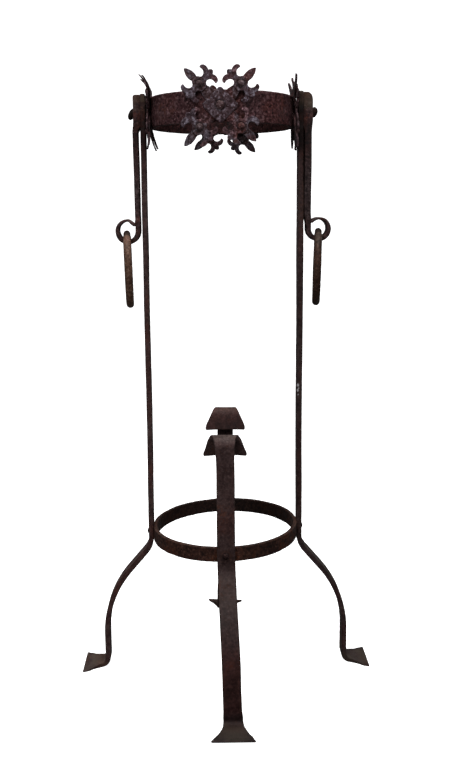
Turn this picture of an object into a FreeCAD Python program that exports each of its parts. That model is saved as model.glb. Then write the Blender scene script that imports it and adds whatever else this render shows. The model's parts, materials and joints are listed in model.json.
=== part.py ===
import FreeCAD, Part
import math
import os
import re
import Sketcher

# Four-legged wrought-iron stand: an upper band and a lower ring carried by two
# tall and two short strap legs, four riveted fleur-de-lis saltires on the band,
# and a bolted hanger with a carrying ring on the right and left sides.
# Millimetres, +Z up, origin on the floor under the centre of the two rings.
# Right is +X, left -X, back +Y, front -Y. Every radial piece is drawn with its
# outward direction along local +X and is turned about Z by its body's placement.

V = FreeCAD.Vector
os.makedirs("parts", exist_ok=True)
doc = FreeCAD.newDocument("stand")

# Driving dimensions. Endings: _r radius, _w width, _t thickness, _h height,
# _d depth, _deg angle, _x distance out from the stand's axis, _z height above the floor.
size = {
    # strap of the legs and hangers
    "bar_w": 30.0, "bar_t": 8.5,
    # lower ring and upper band, _z at their lower edge
    "ring_outer_r": 130.0, "ring_inner_r": 124.0, "ring_z": 246.0, "ring_h": 25.0,
    "band_outer_r": 120.6, "band_inner_r": 115.6, "band_z": 971.0, "band_h": 50.0,
    # legs, radii along the middle of the strap
    "leg_top": 1028.0, "corner_r": 2.5,
    "knee_z": 246.0, "knee_r": 38.0, "splay_deg": 40.5, "splay_len": 48.0, "calf_r": 183.6,
    "ankle_r": 11.0, "sole_run": 2.0,
    # fishtail feet
    "foot_tip": 261.0, "foot_w": 71.0, "foot_side_r": 44.0, "foot_corner_r": 1.1,
    "foot_lap": 0.5,
    # curled ends of the short legs
    "curl_front_top": 463.0, "curl_back_top": 456.0, "curl_r": 14.0, "curl_deg": 165.0,
    "curl_lead": 20.0, "curl_drop": 25.0, "curl_tip_w": 73.0, "curl_tip_t": 6.0,
    "curl_corner_r": 4.5,
    # rivets through the lower ring
    "pin_z": 258.5, "pin_r": 3.5, "pin_head_r": 5.6, "pin_head_h": 3.2,
    "pin_sink_r": 5.0, "pin_sink_d": 2.0,
    # ornaments
    "ornament_z": 997.0, "plate_t": 3.0, "arm_pitch": 46.0,
    "diamond_w": 42.0, "diamond_t": 3.0, "diamond_cut": 2.2, "fleur_t": 2.5,
    # studs on the saltire arms
    "stud_r": 2.5, "stud_head_r": 5.3, "stud_head_h": 3.0,
    "stud_sink_r": 3.6, "stud_sink_d": 1.2,
    # central bosses, front and back
    "boss_r": 3.5, "boss_head_r": 6.0, "boss_head_h": 3.6,
    "boss_sink_r": 5.5, "boss_sink_d": 2.2,
    # pivot bolts and collars, right and left
    "bolt_r": 5.0, "bolt_head_r": 8.6, "bolt_head_h": 9.2,
    "bolt_sink_r": 7.5, "bolt_sink_d": 3.0,
    "collar_r": 11.0, "collar_t": 3.4,
    # straight rims under the domed heads
    "rivet_rim": 0.6, "bolt_rim": 4.0,
    # hole clearance, straight lip of a countersink, and how far cuts run past the metal
    "slack": 0.05, "sink_lip": 0.06, "hole_past": 1.0, "sink_past": 0.5,
    # hangers: "in" is the face towards the stand, "out" the face away from it
    "hang_top": 1027.0, "hang_in_top": 138.55, "hang_out_top": 151.9, "hang_corner_r": 4.0,
    "hang_pad_z": 974.0, "hang_pad_rise": 4.0, "hang_step_h": 8.0, "hang_in_step": 4.8,
    "hang_out_step": 0.2, "hang_out_low": 151.3, "hang_low_rise": 14.0,
    "eye_x": 164.6, "eye_z": 798.5,
    # carrying rings: radius of the centre line and of the round bar
    "hoop_r": 61.2, "hoop_tube": 6.4, "hoop_pivot_x": 166.6, "hoop_pivot_z": 794.35,
    "hoop_lean_left": 1.5, "hoop_lean_right": 1.6,
    "hoop_turn_left": 4.4, "hoop_turn_right": 6.6,
}
sheet = doc.addObject("Spreadsheet::Sheet", "dims")
for row, (alias, number) in enumerate(size.items(), start=1):
    sheet.set(f"A{row}", alias)
    sheet.set(f"B{row}", repr(number))
    sheet.setAlias(f"B{row}", alias)
doc.recompute()

# side, turn about Z, plane through its radial holes, sign of outward in that plane,
# and the fastener at the middle of its ornament
SIDES = (
    ("right", 0, "XZ_Plane", "", "bolt"),
    ("left", 180, "XZ_Plane", "-", "bolt"),
    ("back", 90, "YZ_Plane", "", "boss"),
    ("front", -90, "YZ_Plane", "-", "boss"),
)
# arm of a saltire, sign along local Y, sign along Z
ARMS = (("a", 1, 1), ("b", -1, 1), ("c", -1, -1), ("d", 1, -1))

BAR_X = "ring_outer_r + bar_t / 2"  # middle of a leg's straight shank
PLATE_FACE = "band_outer_r + plate_t"  # outer face of a saltire


# ---------------------------------------------------------------- helpers
def ref(expr):
    """Turns bare cell names in an expression into sheet references."""
    return re.sub(r"[A-Za-z_]\w*",
                  lambda m: "dims." + m.group() if m.group() in size else m.group(), expr)


def value(expr):
    """The number an expression of cells stands for, worked out in a spare cell."""
    sheet.set("D1", "=" + expr)
    sheet.recompute()
    return float(sheet.get("D1"))


def new_body(name, turn=0.0, shift=0.0):
    """Body turned about Z, after a shift along its own Y."""
    body = doc.addObject("PartDesign::Body", name)
    body.Label = name
    rotation = FreeCAD.Rotation(V(0, 0, 1), turn)
    body.Placement = FreeCAD.Placement(rotation.multVec(V(0, shift, 0)), rotation)
    return body


def new_sketch(body, name, role, tilt=0.0, **offset):
    """Sketch on an origin plane, moved by x, y, z expressions and tilted about its Y."""
    sketch = body.newObject("Sketcher::SketchObject", name)
    support = next(f for f in body.Origin.OriginFeatures if f.Role == role)
    sketch.AttachmentSupport = [(support, "")]
    sketch.MapMode = "FlatFace"
    base = V(*[value(offset[axis]) if axis in offset else 0 for axis in "xyz"])
    sketch.AttachmentOffset = FreeCAD.Placement(base, FreeCAD.Rotation(V(0, 1, 0), tilt))
    for axis, expr in offset.items():
        sketch.setExpression("AttachmentOffset.Base." + axis, ref(expr))
    return sketch


class Drawing:
    """Adds geometry and sheet-driven constraints to one sketch."""

    def __init__(self, sketch):
        self.sketch = sketch

    def line(self, start, end, construction=False):
        segment = Part.LineSegment(V(start[0], start[1], 0), V(end[0], end[1], 0))
        return self.sketch.addGeometry(segment, construction)

    def arc(self, centre, radius, from_deg, to_deg):
        circle = Part.Circle(V(centre[0], centre[1], 0), V(0, 0, 1), radius)
        arc = Part.ArcOfCircle(circle, math.radians(from_deg), math.radians(to_deg))
        return self.sketch.addGeometry(arc, False)

    def spline(self, points):
        curve = Part.BSplineCurve()
        curve.interpolate([V(p[0], p[1], 0) for p in points])
        return self.sketch.addGeometry(curve, False)

    def constrain(self, *args):
        return self.sketch.addConstraint(Sketcher.Constraint(*args))

    def dimension(self, expr, kind, *args):
        index = self.constrain(kind, *args, value(expr))
        self.sketch.setExpression(f"Constraints[{index}]", ref(expr))

    def block(self, *geometry):
        for item in geometry:
            self.constrain("Block", item)

    def blocked_lines(self, points):
        """Open run of fixed lines."""
        for start, end in zip(points, points[1:]):
            self.block(self.line(start, end))

    def circle(self, x, y, radius):
        """Circle placed by expressions; x None keeps it on the vertical axis."""
        centre = V(value(x) if x else 0, value(y), 0)
        circle = Part.Circle(centre, V(0, 0, 1), value(radius))
        g = self.sketch.addGeometry(circle, False)
        if x:
            self.dimension(x, "DistanceX", -1, 1, g, 3)
        else:
            self.constrain("PointOnObject", g, 3, -2)
        self.dimension(y, "DistanceY", -1, 1, g, 3)
        self.dimension(radius, "Radius", g)

    def rectangle(self, left, bottom, right, top):
        x0, y0, x1, y1 = value(left), value(bottom), value(right), value(top)
        corners = [(x0, y0), (x1, y0), (x1, y1), (x0, y1)]
        g = [self.line(corners[k], corners[(k + 1) % 4]) for k in range(4)]
        for k in range(4):
            self.constrain("Coincident", g[k], 2, g[(k + 1) % 4], 1)
        for k, kind in enumerate(("Horizontal", "Vertical") * 2):
            self.constrain(kind, g[k])
        self.dimension(left, "DistanceX", -1, 1, g[0], 1)
        self.dimension(bottom, "DistanceY", -1, 1, g[0], 1)
        self.dimension(right, "DistanceX", -1, 1, g[2], 1)
        self.dimension(top, "DistanceY", -1, 1, g[2], 1)

    def polygon(self, corners):
        """Closed polygon of (x, y) expressions; y None keeps a corner on the X axis."""
        points = [(value(x), value(y) if y else 0.0) for x, y in corners]
        count = len(points)
        g = [self.line(points[k], points[(k + 1) % count]) for k in range(count)]
        for k in range(count):
            self.constrain("Coincident", g[k], 2, g[(k + 1) % count], 1)
        for k, (x, y) in enumerate(corners):
            self.dimension(x, "DistanceX", -1, 1, g[k], 1)
            if y:
                self.dimension(y, "DistanceY", -1, 1, g[k], 1)
            else:
                self.constrain("PointOnObject", g[k], 1, -1)


def pad(body, sketch, name, length, midplane=False):
    feature = body.newObject("PartDesign::Pad", name)
    feature.Profile = sketch
    feature.setExpression("Length", ref(length))
    feature.Midplane = midplane
    sketch.Visibility = False
    return feature


def cut_through(body, sketch, name):
    """Pocket through everything on both sides of the sketch."""
    feature = body.newObject("PartDesign::Pocket", name)
    feature.Profile = sketch
    feature.Type = 1
    feature.Midplane = True
    sketch.Visibility = False


def revolve(body, sketch, name, axis="H_Axis", kind="Revolution"):
    feature = body.newObject("PartDesign::" + kind, name)
    feature.Profile = sketch
    feature.ReferenceAxis = (sketch, [axis])
    feature.Angle = 360
    sketch.Visibility = False


def drill(body, name, z, radius):
    """Clearance hole along local X."""
    sketch = new_sketch(body, name + "_circle", "YZ_Plane")
    Drawing(sketch).circle(None, z, radius + " + slack")
    cut_through(body, sketch, name)


# ---------------------------------------------------------------- band and ring
def hoop(name, part):
    """Flat hoop about Z from the cells of one part."""
    body = new_body(name)
    sketch = new_sketch(body, name + "_section", "XZ_Plane")
    Drawing(sketch).rectangle(f"{part}_inner_r", f"{part}_z",
                              f"{part}_outer_r", f"{part}_z + {part}_h")
    revolve(body, sketch, name + "_turn", "V_Axis")
    doc.recompute()
    return body


def radial_hole(body, part, side, role, sign, fastener, z):
    """Hole through one side of a hoop, countersunk from the inside."""
    inner, outer = part + "_inner_r", part + "_outer_r"
    shank, sink = f"({fastener}_r + slack)", f"({fastener}_sink_r + slack)"
    sketch = new_sketch(body, side + "_hole_section", role, y=z)
    Drawing(sketch).polygon([
        (f"{sign}({inner} - hole_past)", None),
        (f"{sign}({inner} - hole_past)", sink),
        (f"{sign}({inner} + sink_lip)", sink),
        (f"{sign}({inner} + {fastener}_sink_d)", shank),
        (f"{sign}({outer} + hole_past)", shank),
        (f"{sign}({outer} + hole_past)", None),
    ])
    revolve(body, sketch, side + "_hole", kind="Groove")


band = hoop("upper_band", "band")
for side, turn, role, sign, fastener in SIDES:
    radial_hole(band, "band", side, role, sign, fastener, "ornament_z")
ring = hoop("lower_ring", "ring")
for side, turn, role, sign, fastener in SIDES:
    radial_hole(ring, "ring", side, role, sign, "pin", "pin_z")
doc.recompute()


# ---------------------------------------------------------------- legs
def bend_line(body, name, top):
    """Middle line of the strap: shank, knee, splay, long calf curve, ankle, sole."""
    sketch = new_sketch(body, name + "_bend_line", "XZ_Plane")
    d = Drawing(sketch)
    splay_deg, splay_len = size["splay_deg"], size["splay_len"]
    cos_splay = math.cos(math.radians(splay_deg))
    sin_splay = math.sin(math.radians(splay_deg))
    knee_r, calf_r, ankle_r = size["knee_r"], size["calf_r"], size["ankle_r"]
    sole_z = size["bar_t"] / 2

    shank_end = (value(BAR_X), size["knee_z"])
    knee_centre = (shank_end[0] + knee_r, shank_end[1])
    knee_end = (knee_centre[0] - knee_r * cos_splay, knee_centre[1] - knee_r * sin_splay)
    splay_end = (knee_end[0] + splay_len * sin_splay, knee_end[1] - splay_len * cos_splay)
    calf_centre = (splay_end[0] - calf_r * cos_splay, splay_end[1] - calf_r * sin_splay)
    calf_end = (calf_centre[0] + calf_r, calf_centre[1])
    ankle_centre = (calf_end[0] + ankle_r, sole_z + ankle_r)
    sole_start = (ankle_centre[0], sole_z)

    shank = d.line((shank_end[0], value(top)), shank_end)
    knee = d.arc(knee_centre, knee_r, 180, 180 + splay_deg)
    splay = d.line(knee_end, splay_end)
    calf = d.arc(calf_centre, calf_r, 0, splay_deg)
    shin = d.line(calf_end, (calf_end[0], ankle_centre[1]))
    ankle = d.arc(ankle_centre, ankle_r, 180, 270)
    sole = d.line(sole_start, (sole_start[0] + size["sole_run"], sole_z))

    d.constrain("Tangent", shank, 2, knee, 1)
    d.constrain("Tangent", knee, 2, splay, 1)
    d.constrain("Tangent", splay, 2, calf, 2)
    d.constrain("Tangent", calf, 1, shin, 1)
    d.constrain("Tangent", shin, 2, ankle, 1)
    d.constrain("Tangent", ankle, 2, sole, 1)
    d.constrain("Vertical", shank)
    d.constrain("Vertical", shin)
    d.constrain("Horizontal", sole)
    d.dimension(BAR_X, "DistanceX", -1, 1, shank, 1)
    d.dimension(top, "DistanceY", -1, 1, shank, 1)
    d.dimension("knee_z", "DistanceY", -1, 1, shank, 2)
    d.dimension("knee_r", "Radius", knee)
    d.dimension("splay_len", "Distance", splay)
    d.dimension("calf_r", "Radius", calf)
    d.dimension("ankle_r", "Radius", ankle)
    d.dimension("bar_t / 2", "DistanceY", -1, 1, sole, 1)
    d.dimension("sole_run", "DistanceX", sole, 1, sole, 2)
    # the splay angle is held through the horizontal run of the sloping line
    d.dimension("splay_len * sin(splay_deg * 1 deg)", "DistanceX", splay, 1, splay, 2)
    return sketch


def strap_section(body, name, x, z, width, thick, tilt=0.0):
    """Rectangle centred at x, z and square to the strap, its width along Y."""
    sketch = new_sketch(body, name, "XY_Plane", tilt, x=x, z=z)
    Drawing(sketch).rectangle(f"-({thick}) / 2", f"-({width}) / 2",
                              f"({thick}) / 2", f"({width}) / 2")
    sketch.Visibility = False
    return sketch


def bent_bar(body, name, top):
    """Strap swept down the bend line from the height top."""
    path = bend_line(body, name, top)
    section = strap_section(body, name + "_bar_section", BAR_X, top, "bar_w", "bar_t")
    pipe = body.newObject("PartDesign::AdditivePipe", name + "_bar")
    pipe.Profile = section
    pipe.Spine = path
    pipe.Transition = 0
    path.Visibility = False
    doc.recompute()


def round_end(body, name, base, axis, position, width, radius):
    """Rounds the edges of an end face whose corners lie at Y = +-width / 2."""
    doc.recompute()

    def at_corner(vertex):
        return (abs(getattr(vertex.Point, axis) - position) < 0.01
                and abs(abs(vertex.Y) - width / 2) < 0.01)

    edges = [f"Edge{k}" for k, edge in enumerate(base.Shape.Edges, start=1)
             if len(edge.Vertexes) == 2 and all(at_corner(v) for v in edge.Vertexes)]
    fillet = body.newObject("PartDesign::Fillet", name)
    fillet.Base = (base, edges)
    fillet.setExpression("Radius", ref(radius))
    doc.recompute()
    return fillet


def fishtail_foot(body, name):
    """Sole with concave sides and a straight, rounded outer edge."""
    sketch = new_sketch(body, name + "_sole", "XY_Plane")
    d = Drawing(sketch)
    start = (BAR_X + " + (knee_r + calf_r) * (1 - cos(splay_deg * 1 deg))"
             " + splay_len * sin(splay_deg * 1 deg) + ankle_r + sole_run - foot_lap")
    start_x, tip_x = value(start), size["foot_tip"]
    start_y, tip_y = size["bar_w"] / 2, size["foot_w"] / 2
    side_r = size["foot_side_r"]
    # centre of the side arc, off the middle of its chord and away from the foot
    run, rise = tip_x - start_x, tip_y - start_y
    chord = math.hypot(run, rise)
    reach = math.sqrt(side_r ** 2 - chord ** 2 / 4)
    centre_x = (start_x + tip_x) / 2 - rise / chord * reach
    centre_y = (start_y + tip_y) / 2 + run / chord * reach
    start_deg = math.degrees(math.atan2(start_y - centre_y, start_x - centre_x))
    tip_deg = math.degrees(math.atan2(tip_y - centre_y, tip_x - centre_x))

    upper = d.arc((centre_x, centre_y), side_r, start_deg, tip_deg)
    lower = d.arc((centre_x, -centre_y), side_r, -tip_deg, -start_deg)
    tip = d.line((tip_x, -tip_y), (tip_x, tip_y))
    root = d.line((start_x, start_y), (start_x, -start_y))
    d.constrain("Coincident", upper, 1, root, 1)
    d.constrain("Coincident", upper, 2, tip, 2)
    d.constrain("Coincident", lower, 2, root, 2)
    d.constrain("Coincident", lower, 1, tip, 1)
    d.constrain("Vertical", tip)
    d.constrain("Vertical", root)
    d.dimension("foot_tip", "DistanceX", -1, 1, tip, 1)
    d.dimension("foot_w / 2", "DistanceY", -1, 1, tip, 2)
    d.dimension("foot_w / 2", "DistanceY", tip, 1, -1, 1)
    d.dimension("bar_w / 2", "DistanceY", -1, 1, root, 1)
    d.dimension("bar_w / 2", "DistanceY", root, 2, -1, 1)
    d.dimension(start, "DistanceX", -1, 1, root, 1)
    d.dimension("foot_side_r", "Radius", upper)
    d.dimension("foot_side_r", "Radius", lower)
    sole = pad(body, sketch, name + "_foot", "bar_t")
    return round_end(body, name + "_sole_corners", sole, "x", tip_x,
                     size["foot_w"], "foot_corner_r")


def tall_leg(name, turn):
    body = new_body(name, turn)
    bent_bar(body, name, "leg_top")
    foot = fishtail_foot(body, name)
    round_end(body, name + "_top_corners", foot, "z", size["leg_top"],
              size["bar_w"], "corner_r")
    drill(body, name + "_pin_hole", "pin_z", "pin_r")
    drill(body, name + "_bolt_hole", "ornament_z", "bolt_r")
    doc.recompute()


# Widening of the curl: fraction of its sweep, width, thickness
CURL = [
    (0.0, "bar_w + 2", "bar_t"),
    (0.2, "bar_w + 4", "bar_t"),
    (0.4, "bar_w + 7.5", "bar_t"),
    (0.6, "bar_w + 13", "bar_t"),
    (0.8, "bar_w + 20", "bar_t - 0.3"),
    (1.0, "bar_w + 28", "bar_t - 0.8"),
]
TIP_FLARE_DEG = 16.5  # side edges of the tail where its corners are rounded, from vertical
TIP_GAP = 0.05  # the rounding meets this far below the tip's lowest inner edge
TIP_CUT_SIDE, TIP_CUT_BELOW = 4.0, 3.0  # how far the corner cut runs past the tip


def curled_end(body, name, centre_x, centre_z, start):
    """Lofts a straight neck, the inward curl and its flattened tail."""
    sections = []

    def station(x, z, width, thick, turned_deg):
        label = f"{name}_curl_{len(sections)}"
        sections.append(strap_section(body, label, x, z, width, thick, -turned_deg))

    station(BAR_X, start, "bar_w", "bar_t", 0.0)
    for part, width, thick in CURL:
        angle = f"curl_deg * {part:g} * 1 deg"
        station(f"{centre_x} + curl_r * cos({angle})", f"{centre_z} + curl_r * sin({angle})",
                width, thick, size["curl_deg"] * part)
    angle = "curl_deg * 1 deg"
    station(f"{centre_x} + curl_r * cos({angle}) - curl_drop * sin({angle})",
            f"{centre_z} + curl_r * sin({angle}) + curl_drop * cos({angle})",
            "curl_tip_w", "curl_tip_t", size["curl_deg"])
    doc.recompute()

    last = len(sections) - 1
    for tag, first, end in (("neck", 0, 1), ("curl", 1, last - 1), ("tail", last - 1, last)):
        loft = body.newObject("PartDesign::AdditiveLoft", f"{name}_{tag}")
        loft.Profile = sections[first]
        loft.Sections = sections[first + 1:end + 1]
        loft.Ruled = tag != "curl"
        doc.recompute()


def round_tip(body, name, centre_z):
    """Rounds both lower corners of the flattened tail by a cut straight through."""
    curl, flare = math.radians(size["curl_deg"]), math.radians(TIP_FLARE_DEG)
    tip_z = (value(centre_z) + size["curl_r"] * math.sin(curl)
             + size["curl_drop"] * math.cos(curl)
             - size["curl_tip_t"] / 2 * math.sin(curl) - TIP_GAP)
    half_w, radius = size["curl_tip_w"] / 2, size["curl_corner_r"]
    setback = radius / math.tan((math.pi / 2 - flare) / 2)
    side_z = tip_z + setback * math.cos(flare)
    sketch = new_sketch(body, name + "_tip_corners", "YZ_Plane")
    d = Drawing(sketch)
    for sign in (1, -1):
        centre = (sign * (half_w - setback), tip_z + radius)
        on_bottom = (centre[0], tip_z)
        on_side = (sign * (half_w - setback * math.sin(flare)), side_z)
        far_y, low_z = sign * (half_w + TIP_CUT_SIDE), tip_z - TIP_CUT_BELOW
        side_deg = math.degrees(math.atan2(on_side[1] - centre[1], on_side[0] - centre[0]))
        span = (-90, side_deg) if sign > 0 else (side_deg, 270)
        d.block(d.arc(centre, radius, *span))
        d.blocked_lines([on_side, (far_y, side_z), (far_y, low_z),
                         (centre[0], low_z), on_bottom])
    cut_through(body, sketch, name + "_tip_rounding")


def short_leg(name, turn, top):
    body = new_body(name, turn)
    centre_x = BAR_X + " - curl_r"
    centre_z = top + " - curl_r - bar_t / 2"
    start = centre_z + " - curl_lead"
    bent_bar(body, name, start)
    curled_end(body, name, centre_x, centre_z, start)
    fishtail_foot(body, name)
    round_tip(body, name, centre_z)
    drill(body, name + "_pin_hole", "pin_z", "pin_r")
    doc.recompute()


tall_leg("leg_right", 0)
tall_leg("leg_left", 180)
short_leg("leg_back", 90, "curl_back_top")
short_leg("leg_front", -90, "curl_front_top")


# ---------------------------------------------------------------- rivets and bolts
def rivet(name, turn, fastener, z, tail, seat, rim="rivet_rim", shift=0.0):
    """Turned about local X: countersunk tail, shank, and a domed head on its seat."""
    body = new_body(name, turn, shift)
    sketch = new_sketch(body, name + "_section", "XZ_Plane", y=z)
    d = Drawing(sketch)
    shank_r, head_r = fastener + "_r", fastener + "_head_r"
    crown = f"{seat} + {fastener}_head_h"
    corners = [
        (tail, None),
        (tail, fastener + "_sink_r"),
        (f"{tail} + {fastener}_sink_d", shank_r),
        (seat, shank_r),
        (seat, head_r),
        (f"{seat} + {rim}", head_r),
    ]
    points = [(value(x), value(y) if y else 0.0) for x, y in corners]
    # the dome runs through the rim's outer corner and the crown on the axis
    rim_x, rim_r = points[-1]
    crown_x = value(crown)
    dome_h = crown_x - rim_x
    dome_r = (rim_r ** 2 + dome_h ** 2) / (2 * dome_h)
    dome_x = crown_x - dome_r
    g = [d.line(start, end) for start, end in zip(points, points[1:])]
    dome = d.arc((dome_x, 0), dome_r, 0, math.degrees(math.atan2(rim_r, rim_x - dome_x)))
    axis = d.line((crown_x, 0), points[0])
    for k in range(4):
        d.constrain("Coincident", g[k], 2, g[k + 1], 1)
    d.constrain("Coincident", g[4], 2, dome, 2)
    d.constrain("Coincident", dome, 1, axis, 1)
    d.constrain("Coincident", axis, 2, g[0], 1)
    d.constrain("PointOnObject", dome, 3, -1)
    d.constrain("PointOnObject", axis, 1, -1)
    d.constrain("PointOnObject", axis, 2, -1)
    d.dimension(tail, "DistanceX", -1, 1, g[0], 1)
    for line, (x, y) in zip(g, corners[1:]):
        d.dimension(x, "DistanceX", -1, 1, line, 2)
        d.dimension(y, "DistanceY", -1, 1, line, 2)
    d.dimension(crown, "DistanceX", -1, 1, dome, 1)
    revolve(body, sketch, name + "_turned")


for side, turn, role, sign, fastener in SIDES:
    rivet("ring_rivet_" + side, turn, "pin", "pin_z", "ring_inner_r", "ring_outer_r + bar_t")
doc.recompute()


# ---------------------------------------------------------------- ornaments
# Half of one saltire arm: distance along the arm, half width
ARM_EDGE = [
    (9.6, 9.6), (20.0, 9.7), (28.0, 9.2), (34.0, 7.3), (40.0, 6.2), (46.0, 5.8), (52.0, 5.5),
    (56.0, 5.6), (61.0, 6.2), (66.0, 6.4), (70.0, 5.7), (74.0, 4.2), (77.5, 2.2), (80.0, 0.0),
]
# One quarter of a double fleur: u along its length, v across it.
# Two curves from the waist outwards, then straight lines to the blunt point.
FLEUR_WAIST = [
    (0.0, 11.0), (3.6, 11.2), (6.4, 9.9), (8.3, 6.9), (11.7, 5.2), (15.4, 6.2),
    (18.0, 9.0), (18.9, 12.8), (18.2, 17.2),
]
FLEUR_PETAL = [
    (18.2, 17.2), (21.4, 18.3), (24.6, 16.6), (26.4, 12.8), (26.6, 9.0), (25.0, 5.2),
    (23.9, 4.2),
]
FLEUR_POINT = [(23.9, 4.2), (26.4, 4.2), (29.4, 1.2)]

STUD_OFFSET = "arm_pitch / sqrt(2)"


def stud_y(sign):
    return ("" if sign > 0 else "-") + STUD_OFFSET


def stud_z(sign):
    return f"ornament_z {'+' if sign > 0 else '-'} {STUD_OFFSET}"


def saltire(name, turn, fastener):
    """Cross plate on the band, with a hole in the middle and one on each arm."""
    body = new_body(name, turn)
    outline = new_sketch(body, name + "_outline", "YZ_Plane", z="band_outer_r")
    d = Drawing(outline)
    for k in range(4):
        angle = math.radians(45 + 90 * k)
        cosine, sine = math.cos(angle), math.sin(angle)
        for sign in (1, -1):
            d.block(d.spline([(along * cosine - sign * half * sine,
                               size["ornament_z"] + along * sine + sign * half * cosine)
                              for along, half in ARM_EDGE]))
    pad(body, outline, name + "_plate", "plate_t")

    holes = new_sketch(body, name + "_holes", "YZ_Plane")
    d = Drawing(holes)
    d.circle(None, "ornament_z", fastener + "_r + slack")
    for arm, sign_y, sign_z in ARMS:
        d.circle(stud_y(sign_y), stud_z(sign_z), "stud_r + slack")
    cut_through(body, holes, name + "_shank_holes")

    # countersinks for the stud tails in the plate's inner face
    for k, (arm, sign_y, sign_z) in enumerate(ARMS):
        sink = new_sketch(body, f"{name}_sink_{k}", "XZ_Plane",
                          y=stud_z(sign_z), z=stud_y(-sign_y))
        Drawing(sink).polygon([
            ("band_outer_r - sink_past", None),
            ("band_outer_r - sink_past", "stud_sink_r + slack"),
            ("band_outer_r", "stud_sink_r + slack"),
            ("band_outer_r + stud_sink_d", "stud_r + slack"),
            ("band_outer_r + stud_sink_d", None),
        ])
        revolve(body, sink, f"{name}_sunk_{k}", kind="Groove")


def diamond(name, turn, fastener):
    """Square plate standing on one clipped corner at the middle of the saltire."""
    body = new_body(name, turn)
    sketch = new_sketch(body, name + "_outline", "YZ_Plane", z=PLATE_FACE)
    d = Drawing(sketch)
    far, near = "(diamond_w / sqrt(2) - diamond_cut)", "(diamond_cut)"
    corners = [
        (far, "-" + near), (far, near), (near, far), ("-" + near, far),
        ("-" + far, near), ("-" + far, "-" + near), ("-" + near, "-" + far), (near, "-" + far),
    ]
    d.polygon([(y, "ornament_z + " + z) for y, z in corners])
    d.circle(None, "ornament_z", fastener + "_r + slack")
    pad(body, sketch, name + "_plate", "diamond_t")


def fleur(name, turn, sign_y, sign_z):
    """Double fleur across one arm of the saltire."""
    body = new_body(name, turn)
    sketch = new_sketch(body, name + "_outline", "YZ_Plane", z=PLATE_FACE)
    d = Drawing(sketch)
    centre_y, centre_z = value(stud_y(sign_y)), value(stud_z(sign_z))

    def place(u, v):
        """u runs at right angles to the arm, v outwards along it."""
        return (centre_y + (-u * sign_z + v * sign_y) / math.sqrt(2),
                centre_z + (u * sign_y + v * sign_z) / math.sqrt(2))

    for sign_u in (1, -1):
        for sign_v in (1, -1):
            waist, petal, point = [
                [place(sign_u * u, sign_v * v) for u, v in run]
                for run in (FLEUR_WAIST, FLEUR_PETAL, FLEUR_POINT)]
            d.block(d.spline(waist))
            d.block(d.spline(petal))
            d.blocked_lines(point)
        end_u, end_v = FLEUR_POINT[-1]
        d.blocked_lines([place(sign_u * end_u, end_v), place(sign_u * end_u, -end_v)])
    d.circle(stud_y(sign_y), stud_z(sign_z), "stud_r + slack")
    pad(body, sketch, name + "_plate", "fleur_t")


def collar(name, turn):
    """Washer between a diamond and its hanger."""
    body = new_body(name, turn)
    sketch = new_sketch(body, name + "_circles", "YZ_Plane", z=PLATE_FACE + " + diamond_t")
    d = Drawing(sketch)
    d.circle(None, "ornament_z", "collar_r")
    d.circle(None, "ornament_z", "bolt_r + slack")
    pad(body, sketch, name + "_ring", "collar_t")


def ornament(side, turn, fastener):
    name = "ornament_" + side
    saltire(name + "_saltire", turn, fastener)
    diamond(name + "_diamond", turn, fastener)
    for arm, sign_y, sign_z in ARMS:
        fleur(f"{name}_fleur_{arm}", turn, sign_y, sign_z)
        rivet(f"{name}_stud_{arm}", turn, "stud", stud_z(sign_z), "band_outer_r",
              PLATE_FACE + " + fleur_t", shift=value(stud_y(sign_y)))
    if fastener == "boss":
        rivet(name + "_boss", turn, "boss", "ornament_z", "band_inner_r",
              PLATE_FACE + " + diamond_t")
    else:
        rivet("pivot_bolt_" + side, turn, "bolt", "ornament_z", "band_inner_r",
              "hang_out_top + slack", rim="bolt_rim")
        collar("collar_" + side, turn)


for side, turn, role, sign, fastener in SIDES:
    ornament(side, turn, fastener)
doc.recompute()


# ---------------------------------------------------------------- hangers
# Scroll eye: angle about its centre in degrees, outer radius, thickness
SCROLL = [
    (180, 21.3, 8.0), (200, 21.3, 7.9), (225, 21.3, 7.7), (250, 21.3, 7.5), (270, 21.3, 7.4),
    (295, 21.3, 7.1), (320, 21.3, 6.7), (345, 21.25, 6.3), (370, 21.15, 5.8),
    (395, 20.95, 5.2), (420, 20.6, 4.6), (445, 20.05, 3.9), (465, 19.3, 3.3),
    (482, 18.4, 2.7), (496, 17.6, 2.2),
]


def scroll_point(angle_deg, radius):
    angle = math.radians(angle_deg)
    return (size["eye_x"] + radius * math.cos(angle), size["eye_z"] + radius * math.sin(angle))


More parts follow.
